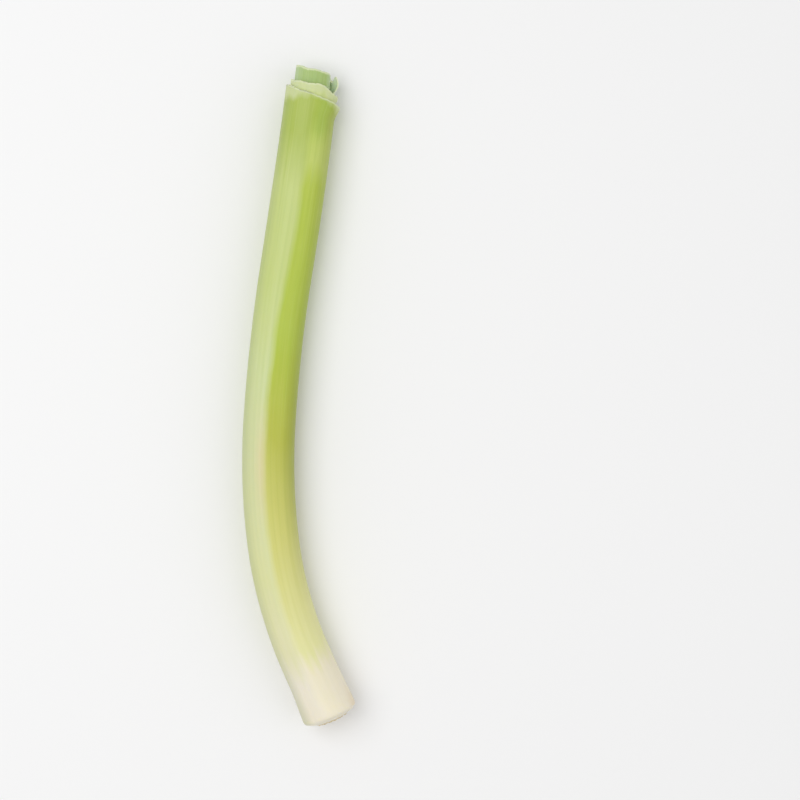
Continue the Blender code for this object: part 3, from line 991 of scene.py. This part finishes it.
# Second leaf. The next sheath in fits close inside the outer one and has slipped about three millimetres
# further out at the cut. The outer leaf shaded it, so it is paler, and its edge has dried too.
SECOND = Leaf("second_leaf", 1, cut=0.0030, slant=0.0022, phase=28, lobe=(0.0016, 64.0, 8.0))
# Painted sheen: the inner leaves paler and bluer at their left edge, where the large light on the left
# falls.
SHEEN_ON_LEFT_EDGE = Patch((196, 212, 182), across=((-0.0060, 0.4), (-0.0030, 0.0)))
HIDDEN_RINGS = tuple(np.linspace(0.004, SHAFT_RINGS_END, 44))
second_look = Skin(
    "second_leaf_skin",
    main_colours=(
        (0.00, (238, 232, 214)),
        (0.30, (232, 230, 196)),
        (0.80, (222, 226, 170)),
        (1.00, (208, 219, 150)),
    ),
    patches=(SHEEN_ON_LEFT_EDGE,),
    streak=0.006,
    dark_strands=0.15,
    pale_strands=0.16,
    dried=0.0034,
    roughness=0.42,
    bloom=0.06,
)
second_skin = make_skin(second_look)
second_cut = cut_tissue("second_leaf_cut", (232, 234, 200), (204, 216, 140))
second = make_wall(
    SECOND,
    "second_leaf_sheath",
    columns=300,
    outside=[*FOOT_RINGS, *HIDDEN_RINGS, *near_cut(26)],
    inside=[*FOOT_RINGS_INSIDE, *HIDDEN_RINGS[::2], *near_cut(16)],
    materials=[second_skin, second_cut],
)
run_tree(second, ribs, Depth=0.00005, Spacing=0.0012, Length=0.05, Seed=5.0, Skin=second_skin)
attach(second, "root")
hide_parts("second_leaf")

# Third, fourth and fifth leaves. Above its mouth a leek leaf is no longer a tube: it is folded along its
# keel, with two free margins. The third stands furthest out, blue-green with a wax bloom, and its lower
# margin curls out on the right as a torn tongue. The two inside it are paler and end below its edge.
BLADE_START = PLATE_THICKNESS + LEAF_GAP
BLADE_RISE = (MOUTH_START, *(MOUTH_START + (SHAFT_LENGTH - MOUTH_START) * np.linspace(0.02, 0.985, 26)))


class Blade(NamedTuple):
    """A folded leaf's look."""

    leaf: Leaf
    low: tuple  # its colour in the shaft's top
    high: tuple  # its colour at the cut
    columns: int
    rib_depth: float
    bloom: float


# The third leaf's rim is torn down at the fold, where the tongue starts.
TORN = (-0.0024, 328.0, 90.0)
CURL = (0.0031, 0.0006, 0.0003)
THIRD = Leaf("third_leaf", 2, cut=0.0093, slant=0.0010, phase=24, mouth=17, lobe=TORN, curl=CURL)
FOURTH = Leaf("fourth_leaf", 3, cut=0.0084, slant=0.0008, phase=20, mouth=16)
FIFTH = Leaf("fifth_leaf", 4, cut=0.0078, slant=0.0006, phase=16, mouth=14)
BLADES = (
    Blade(THIRD, (150, 178, 122), (166, 192, 120), 192, 0.00007, 0.20),
    Blade(FOURTH, (176, 198, 118), (164, 190, 104), 160, 0.00006, 0.08),
    Blade(FIFTH, (188, 206, 124), (176, 198, 104), 128, 0.00005, 0.08),
)


def make_blade(blade):
    """One folded leaf, as finely ringed inside as outside."""
    node = blade.leaf.node
    greens = ((0.93, blade.low), (1.00, blade.high))
    pales = ((0.00, (240, 236, 220)), (0.60, (232, 234, 196)))
    # Its pale left edge is painted sheen from the light on the left.
    look = Skin(node + "_skin", main_colours=pales + greens, patches=(SHEEN_ON_LEFT_EDGE,), bloom=blade.bloom)
    blade_skin = make_skin(look)
    blade_cut = cut_tissue(node + "_cut", (226, 234, 196), (150, 184, 110))
    rings = [BLADE_START, *HIDDEN_RINGS, *BLADE_RISE]
    made = make_wall(blade.leaf, node + "_blade", blade.columns, rings, rings, [blade_skin, blade_cut])
    seed = 7.0 + blade.leaf.index
    run_tree(made, ribs, Depth=blade.rib_depth, Spacing=0.0011, Length=0.05, Seed=seed, Skin=blade_skin)
    return made


for blade in BLADES:
    made = make_blade(blade)
    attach(made, "root")
    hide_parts(blade.leaf.node)

# Heart leaf. The youngest leaf is still rolled tight in the middle, moist and yellow-green, so it is cut
# across as one solid bud, with a groove where its margins meet.
HEART_RIM = 0.0072
HEART_GROOVE = 0.0009
HEART_GROOVE_WIDTH = 0.25
HEART_COLUMNS = 96
HEART_TOP_SHARES = (0.97, 0.9, 0.8, 0.68, 0.55, 0.42, 0.3, 0.18, 0.07)
HEART_CROWN = 0.00012
HEART_ROLL = 0.00005
HEART_ROLLS = 46


def heart_rings():
    """The bud's rings, each with its place along the shaft and its share of the full width there."""
    side = (BLADE_START, *HIDDEN_RINGS, *near_cut(20))
    return [(ring, 1.0) for ring in side] + [(SHAFT_LENGTH, share) for share in HEART_TOP_SHARES]


def make_heart(skin, cut):
    """The bud: rings up its side, and over the cut to its middle, with low ridges where it is rolled."""
    angle = 2 * pi * np.arange(HEART_COLUMNS) / HEART_COLUMNS
    end = SHAFT_LENGTH + HEART_RIM
    points, straight, edges = [], [], []
    for ring, share in heart_rings():
        s = leaning(ring, end)
        if share < 1:
            s = s + HEART_CROWN * (1 - share) + HEART_ROLL * np.sin(share * HEART_ROLLS)
        shift, half_width = nested(len(WALLS), np.float64(ring))
        folded = smooth((s - FOLD_START) / (SHAFT_LENGTH - FOLD_START))
        height = half_width * along(SHAFT_HEIGHT_SHARE, s) * (1 - FOLD_SHARE * folded)
        inward = HEART_GROOVE * folded * np.exp(-((np.sin(angle / 2) / HEART_GROOVE_WIDTH) ** 2))
        side = shift + share * (half_width - inward) * np.cos(angle)
        points.append(place(s, side, share * height * np.sin(angle)))
        straight.append(triples(*polar(share * half_width, angle), s))
        edges.append(triples(end - s, 1 - share, angle / (2 * pi)))
    faces, picks = [], []
    for i, (_, share) in enumerate(heart_rings()[1:]):
        faces += ring_faces(i * HEART_COLUMNS, (i + 1) * HEART_COLUMNS, HEART_COLUMNS)
        picks += [int(share < 1)] * HEART_COLUMNS
    last = (len(points) - 1) * HEART_COLUMNS
    faces += [tuple(range(HEART_COLUMNS)), tuple(range(last, last + HEART_COLUMNS))]
    picks += [0, 1]
    layers = {"straight": np.concatenate(straight), "edges": np.concatenate(edges)}
    return make_mesh("heart_leaf_bud", np.concatenate(points), faces, layers, [skin, cut], picks)


# Its pale left edge is painted sheen from the light on the left.
heart_look = Skin(
    "heart_leaf_skin",
    main_colours=((0.0, (240, 236, 216)), (0.7, (228, 230, 170)), (1.0, (206, 216, 118))),
    patches=(SHEEN_ON_LEFT_EDGE,),
    pale_strands=0.2,
    dried=0.0005,
    roughness=0.35,
    bloom=0.05,
)
heart_skin = make_skin(heart_look)
heart = make_heart(heart_skin, cut_tissue("heart_leaf_cut", (214, 222, 130), (196, 212, 110)))
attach(heart, "root")
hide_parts("heart_leaf")

# Strands in the cuts. Each leaf's veins show in its cut edge as a row of tiny pale dots halfway through
# the wall, which stand up a little because the soft flesh round them shrinks first.
STRAND_SPACING = 0.0009
STRAND_RADIUS = 0.00013
STRAND_STANDS_UP = 0.00002
STRAND_SIZES = (0.6, 1.3)
STRAND_SPECKS = (2500, 2500, 2500)


def strand_tree():
    """A pale bead at even steps along a line."""
    tree, given = new_tree("cut_strands", Spacing="Float", Radius="Float", Seed="Int", Tissue="Material")
    line = add_node(tree, "GeometryNodeMeshToCurve", {0: given["Mesh"]})
    steps = {"Curve": line.outputs[0], "Length": given["Spacing"]}
    dots = add_node(tree, "GeometryNodeResampleCurve", steps, mode="LENGTH")
    bead = add_node(tree, "GeometryNodeMeshIcoSphere", {"Radius": given["Radius"], "Subdivisions": 2})
    size = tree_random(tree, *STRAND_SIZES, given["Seed"])
    values = {"Points": dots.outputs[0], "Instance": bead.outputs[0], "Scale": size}
    placed = add_node(tree, "GeometryNodeInstanceOnPoints", values)
    end_tree(tree, placed, given["Tissue"])
    return tree


def strand_tissue():
    """The pale, glossy end of a vein."""
    tissue = Tissue("strand_tissue", roughness=0.4, glow=0.3, glow_depth=0.0006)
    spot = tissue.add("TexCoord").outputs["Object"]
    specks = tissue.grain(spot, STRAND_SPECKS, 2)
    pales = ((0.0, (206, 216, 150)), (1.0, (240, 240, 212)))
    return tissue.wear(Base_Color=tissue.ramp(tissue.between(specks, NOISE_LOW, NOISE_HIGH), pales))


def cut_line(leaf):
    """Points halfway through a leaf's wall, all along its cut."""
    turn = np.linspace(0.02, 0.98, 200)
    s, side, up, _, _ = wall_point(leaf, np.float64(SHAFT_LENGTH), turn, 0.5, leaf.mouth > 0)
    return place(s + STRAND_STANDS_UP, side, up).tolist()


strands = strand_tree()
strand_end = strand_tissue()
for leaf in (OUTER, SECOND, THIRD, FOURTH, FIFTH):
    line = cut_line(leaf)
    data = bpy.data.meshes.new(leaf.node + "_strands")
    data.from_pydata(line, [(i, i + 1) for i in range(len(line) - 1)], [])
    dots = add_object(leaf.node + "_strands", data)
    run_tree(
        dots, strands, Spacing=STRAND_SPACING, Radius=STRAND_RADIUS, Seed=leaf.index, Tissue=strand_end
    )
    dots.data.shade_smooth()
    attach(dots, "root")

# Floor, light and camera. The leek lies on a plain pale floor under one large soft light from its left,
# with a weak fill from the right, and is looked at from straight above.
FLOOR_REACH = 3.0
FLOOR_CLEARANCE = 0.0001
LAMP_AIM = (0.0, 0.0, 0.01)
ROOM_GLOW = 0.62
IMAGE_WIDTH = 800
PIXEL = 0.00036
SENSOR = 36.0
CAMERA_HEIGHT = 0.7595
LEEK_HEIGHT = 0.0095
CAMERA_X = 0.036522
CAMERA_Y = -0.001791


def floor_paint():
    """Matt pale paint."""
    paint = bpy.data.materials.new("floor_paint")
    paint.use_nodes = True
    surface = paint.node_tree.nodes["Principled BSDF"].inputs
    surface["Base Color"].default_value = (0.92, 0.92, 0.92, 1)
    surface["Roughness"].default_value = 0.9
    surface["Specular IOR Level"].default_value = 0.1
    return paint


def make_floor():
    """A wide flat floor, just under the leek."""
    data = bpy.data.meshes.new("floor")
    corners = [(x * FLOOR_REACH, y * FLOOR_REACH, 0) for x, y in ((-1, -1), (1, -1), (1, 1), (-1, 1))]
    data.from_pydata(corners, [], [(0, 1, 2, 3)])
    data.materials.append(floor_paint())
    floor = add_object("floor", data)
    floor.location.z = -FLOOR_CLEARANCE
    return floor


def make_light(name, spot, size, power):
    """A large square lamp, turned to the leek."""
    data = bpy.data.lights.new(name, "AREA")
    data.size = size
    data.energy = power
    light = add_object(name, data)
    light.location = spot
    light.rotation_euler = (Vector(LAMP_AIM) - Vector(spot)).to_track_quat("-Z", "Y").to_euler()


make_floor()
make_light("window", (-0.40, 0.12, 0.95), size=0.8, power=4.4)
make_light("fill", (0.9, -0.3, 0.9), size=1.2, power=2.0)
world = bpy.data.worlds.new("room")
world.use_nodes = True
walls = world.node_tree.nodes["Background"].inputs
walls["Color"].default_value = (1, 1, 1, 1)
walls["Strength"].default_value = ROOM_GLOW
bpy.context.scene.world = world
bpy.context.scene.view_settings.view_transform = "Standard"
bpy.context.scene.view_settings.look = "None"

lens = bpy.data.cameras.new("camera")
lens.sensor_width = SENSOR
lens.lens = SENSOR * (CAMERA_HEIGHT - LEEK_HEIGHT) / (IMAGE_WIDTH * PIXEL)
lens.clip_start = 0.01
camera = add_object("camera", lens)
camera.location = (CAMERA_X, CAMERA_Y, CAMERA_HEIGHT)
bpy.context.scene.camera = camera
